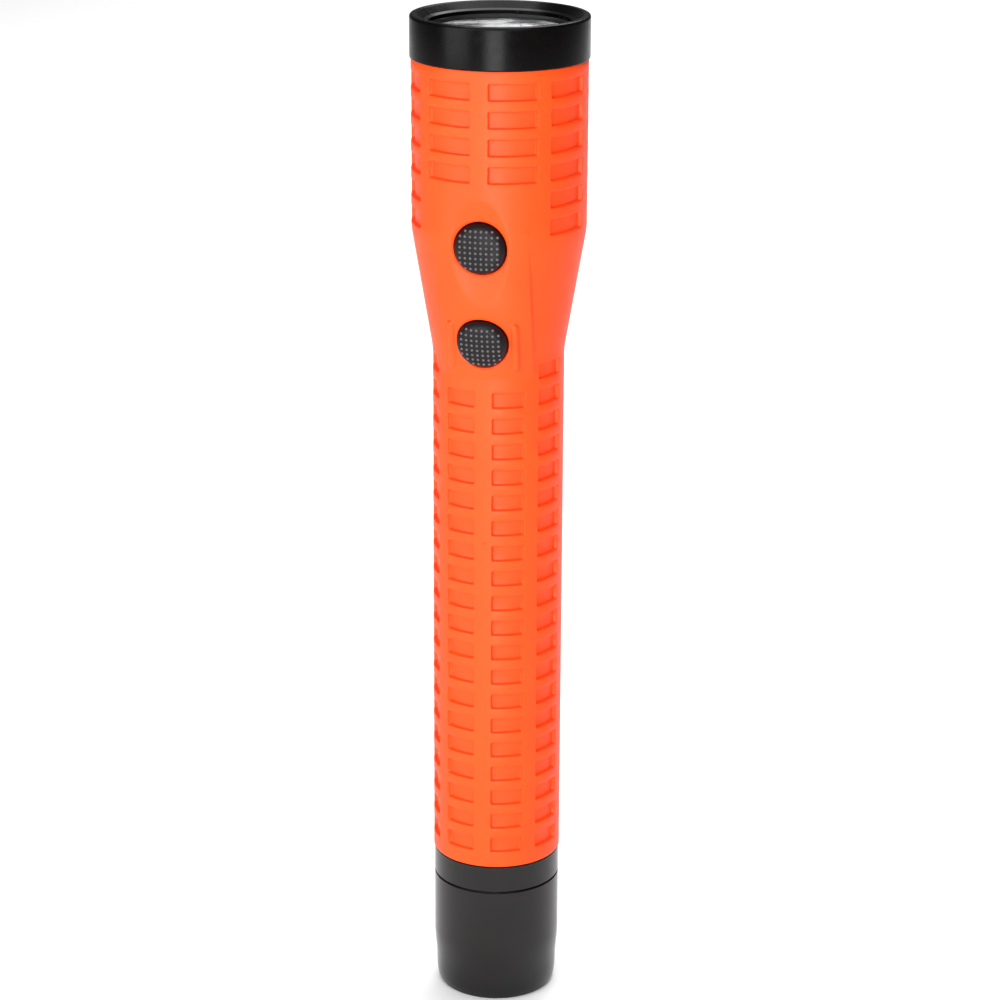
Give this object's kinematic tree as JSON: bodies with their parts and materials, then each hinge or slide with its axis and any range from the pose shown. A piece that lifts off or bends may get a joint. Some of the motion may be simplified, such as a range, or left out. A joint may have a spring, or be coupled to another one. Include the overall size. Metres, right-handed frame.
{
  "type": "traffic baton light",
  "caption": "Duty hand torch and traffic baton light: orange gridded polymer barrel, black bezel, rubber push buttons and a screw-on tail cap.",
  "frame": {"origin": "centre of the tail cap's flat end face", "axes": "+Z along the barrel from the tail to the lens, -Y the side that the two buttons face"},
  "size_m": [0.045, 0.0452, 0.2628],
  "materials": {
    "orange_nylon": "satin moulded nylon",
    "black_nylon": "satin moulded nylon",
    "black_bezel": "smooth satin moulded nylon",
    "button_rubber": "matt moulded rubber",
    "seal_rubber": "matt rubber",
    "clear_lens": "clear polycarbonate",
    "mirror_coat": "vacuum metallised",
    "white_plastic": "satin",
    "white_ceramic": "matt",
    "led_phosphor": "clear silicone over yellow phosphor",
    "white_board": "white solder mask on aluminium",
    "bare_aluminium": "turned",
    "steel": "zinc plated",
    "wire_jacket": "silicone wire jacket",
    "green_board": "green solder mask",
    "inner_plastic": "moulded",
    "chip_plastic": "moulded epoxy",
    "brass": "plated",
    "cell_wrap": "shrink sleeve",
    "insulator_fibre": "vulcanised fibre"
  },
  "bodies": {
    "torch": {"housing": "orange_nylon", "bezel": "black_bezel", "bezel_seal_ring": "seal_rubber", "lens": "clear_lens", "lens_seal": "seal_rubber", "reflector": "mirror_coat", "led_gasket": "white_plastic", "led_base": "white_ceramic", "led_dome": "led_phosphor", "led_board": "white_board", "heat_sink": "bare_aluminium", "led_board_screws": "steel", "led_leads": "wire_jacket", "driver_board": "green_board", "driver_spacer": "inner_plastic", "driver_inductor": "chip_plastic", "driver_chips": "chip_plastic", "switch_carrier": "inner_plastic", "main_button_seal": "seal_rubber", "main_switch": "chip_plastic", "main_switch_board": "green_board", "main_board_screws": "steel", "mode_button_seal": "seal_rubber", "mode_switch": "chip_plastic", "mode_switch_board": "green_board", "mode_board_screws": "steel", "power_leads": "wire_jacket", "contact_carrier": "inner_plastic", "front_contact": "brass", "battery_liner": "bare_aluminium", "cartridge_sleeve": "inner_plastic", "cell_rear": "cell_wrap", "cell_front": "cell_wrap", "cartridge_rear_cap": "inner_plastic", "rear_contact": "brass", "cartridge_front_cap": "inner_plastic", "cartridge_front_contact": "brass", "tail_collar": "black_nylon", "tail_seal_ring": "seal_rubber"},
    "main_button": {"main_button": "button_rubber", "main_plunger": "white_plastic", "main_switch_stem": "chip_plastic"},
    "mode_button": {"mode_button": "button_rubber", "mode_plunger": "white_plastic", "mode_switch_stem": "chip_plastic"},
    "tail_carrier": {"contact_cup": "brass", "tail_insulator": "insulator_fibre", "tail_spring": "steel"},
    "tail_cap": {"tail_cap": "black_nylon"}
  },
  "joints": [
    {"name": "main_button_press", "type": "slide", "parent": "torch", "child": "main_button", "axis": [0, 0.9994, 0.0349], "range_m": [0, 0.001], "stiffness_N_per_m": 2500, "springref_m": -0.0004},
    {"name": "mode_button_press", "type": "slide", "parent": "torch", "child": "mode_button", "axis": [0, 0.9659, 0.2588], "range_m": [0, 0.001], "stiffness_N_per_m": 2500, "springref_m": -0.0004},
    {"name": "tail_cap_lift", "type": "slide", "parent": "torch", "child": "tail_carrier", "axis": [0, 0, -1], "range_m": [0, 0.0065], "deforming": ["tail_spring"]},
    {"name": "tail_cap_turn", "type": "hinge", "parent": "tail_carrier", "child": "tail_cap", "pos_m": [0, 0, 0], "axis": [0, 0, -1], "range_deg": [0, 1170]}
  ],
  "couplings": [
    {"joint": "tail_cap_turn", "follows": "tail_cap_lift", "rad_per_m": 3141.6}
  ]
}
